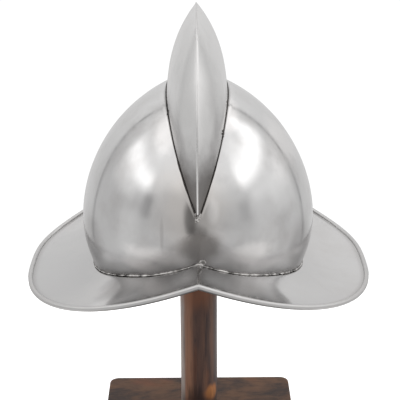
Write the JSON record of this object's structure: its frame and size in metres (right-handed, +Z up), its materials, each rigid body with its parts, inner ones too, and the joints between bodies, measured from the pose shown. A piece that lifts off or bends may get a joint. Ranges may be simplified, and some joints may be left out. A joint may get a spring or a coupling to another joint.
{
  "type": "morion helmet on stand",
  "caption": "Polished steel crested morion helmet with a boat-shaped brim, on a plain round wooden post with a square base.",
  "frame": {"origin": "middle of the underside of the stand's base, straight under the middle of the helmet", "axes": "+Z up, -Y towards the front point of the brim, X across the helmet"},
  "size_m": [0.3138, 0.3846, 0.437],
  "materials": {
    "skull_steel": "polished by hand, soft reflections",
    "comb_steel": "polished by hand, soft reflections",
    "brim_steel": "polished by hand, soft reflections",
    "post_wood": "dark stain, satin",
    "base_wood": "dark stain, satin"
  },
  "bodies": {
    "root": {"skull": "skull_steel", "comb": "comb_steel", "brim": "brim_steel", "stand_post": "post_wood", "stand_base": "base_wood"}
  },
  "joints": []
}
